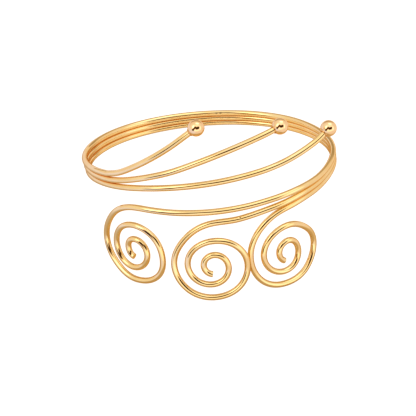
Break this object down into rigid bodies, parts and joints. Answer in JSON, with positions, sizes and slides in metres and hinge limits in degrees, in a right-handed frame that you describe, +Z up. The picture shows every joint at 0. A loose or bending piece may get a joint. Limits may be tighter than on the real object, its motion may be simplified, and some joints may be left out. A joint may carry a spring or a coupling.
{
  "type": "upper arm cuff",
  "caption": "Open wire cuff for the upper arm: gold wires side by side round the back, fanning out to ball ends at the front above a row of flat spiral coils.",
  "frame": {"origin": "on the surface that the cuff rests on, below the middle of its box", "axes": "+Z up as it rests by itself, leaning back on its coils and its back; +X to the viewer's right, along its width; the coils and the ball ends face -Y"},
  "size_m": [0.0854, 0.0818, 0.0573],
  "materials": {
    "wire_gold": "polished gold plate, with drawn wire's fine lengthwise lines",
    "ball_gold": "mirror-polished gold plate"
  },
  "bodies": {
    "root": {"wires": "wire_gold", "ball_upper": "ball_gold", "ball_middle": "ball_gold", "ball_lower": "ball_gold"}
  },
  "joints": []
}
